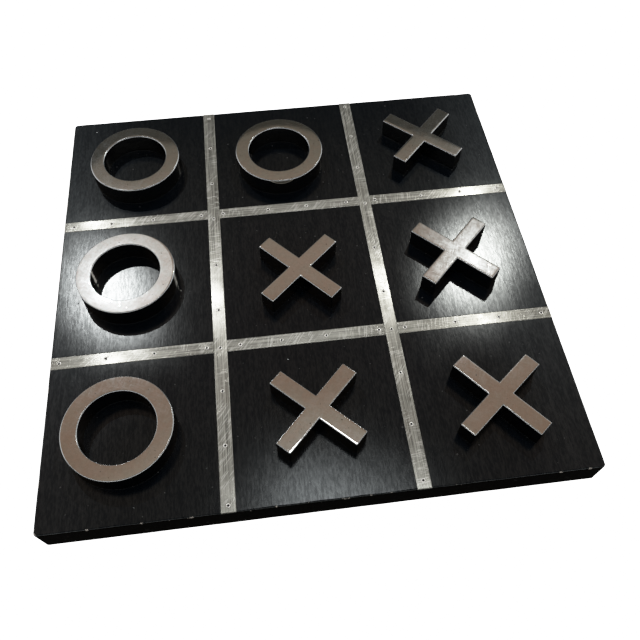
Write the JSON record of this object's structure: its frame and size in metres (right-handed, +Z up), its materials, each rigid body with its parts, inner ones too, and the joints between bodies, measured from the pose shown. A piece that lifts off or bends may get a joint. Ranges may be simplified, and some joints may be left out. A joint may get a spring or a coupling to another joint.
{
  "type": "tic tac toe set",
  "caption": "Square ebonised wooden board with pinned metal inlay strips marking nine cells, and loose polished metal ring and cross playing pieces.",
  "frame": {"origin": "centre of the board's footprint, on the plane that the felt pads stand on", "axes": "+X to the board's right, +Y to its back, +Z up out of the playing face"},
  "size_m": [0.38, 0.38, 0.0415],
  "materials": {
    "ebonised_wood": "black painted, satin, worn edges",
    "inlay": "hand sanded satin",
    "pins": "punched and rubbed down",
    "pieces": "polished nickel",
    "felt": "wool felt"
  },
  "bodies": {
    "board": {"board": "ebonised_wood", "felt_pads": "felt", "strip_long_left": "inlay", "strip_long_right": "inlay", "strip_back_left": "inlay", "strip_back_centre": "inlay", "strip_back_right": "inlay", "strip_front_left": "inlay", "strip_front_centre": "inlay", "strip_front_right": "inlay", "pins_long_left": "pins", "pins_long_right": "pins", "pins_back_left": "pins", "pins_back_centre": "pins", "pins_back_right": "pins", "pins_front_left": "pins", "pins_front_centre": "pins", "pins_front_right": "pins"},
    "nought_back_left": {"nought_back_left": "pieces"},
    "nought_back_centre": {"nought_back_centre": "pieces"},
    "nought_middle_left": {"nought_middle_left": "pieces"},
    "nought_front_left": {"nought_front_left": "pieces"},
    "cross_centre": {"cross_centre": "pieces"},
    "cross_front_centre": {"cross_front_centre": "pieces"},
    "cross_back_right": {"cross_back_right": "pieces"},
    "cross_middle_right": {"cross_middle_right": "pieces"},
    "cross_front_right": {"cross_front_right": "pieces"}
  },
  "joints": [
    {"name": "nought_back_left_lift", "type": "slide", "parent": "board", "child": "nought_back_left", "axis": [0, 0, 1], "range_m": [0, 0.06]},
    {"name": "nought_back_centre_lift", "type": "slide", "parent": "board", "child": "nought_back_centre", "axis": [0, 0, 1], "range_m": [0, 0.06]},
    {"name": "nought_middle_left_lift", "type": "slide", "parent": "board", "child": "nought_middle_left", "axis": [0, 0, 1], "range_m": [0, 0.06]},
    {"name": "nought_front_left_lift", "type": "slide", "parent": "board", "child": "nought_front_left", "axis": [0, 0, 1], "range_m": [0, 0.06]},
    {"name": "cross_centre_lift", "type": "slide", "parent": "board", "child": "cross_centre", "axis": [0, 0, 1], "range_m": [0, 0.06]},
    {"name": "cross_front_centre_lift", "type": "slide", "parent": "board", "child": "cross_front_centre", "axis": [0, 0, 1], "range_m": [0, 0.06]},
    {"name": "cross_back_right_lift", "type": "slide", "parent": "board", "child": "cross_back_right", "axis": [0, 0, 1], "range_m": [0, 0.06]},
    {"name": "cross_middle_right_lift", "type": "slide", "parent": "board", "child": "cross_middle_right", "axis": [0, 0, 1], "range_m": [0, 0.06]},
    {"name": "cross_front_right_lift", "type": "slide", "parent": "board", "child": "cross_front_right", "axis": [0, 0, 1], "range_m": [0, 0.06]}
  ]
}
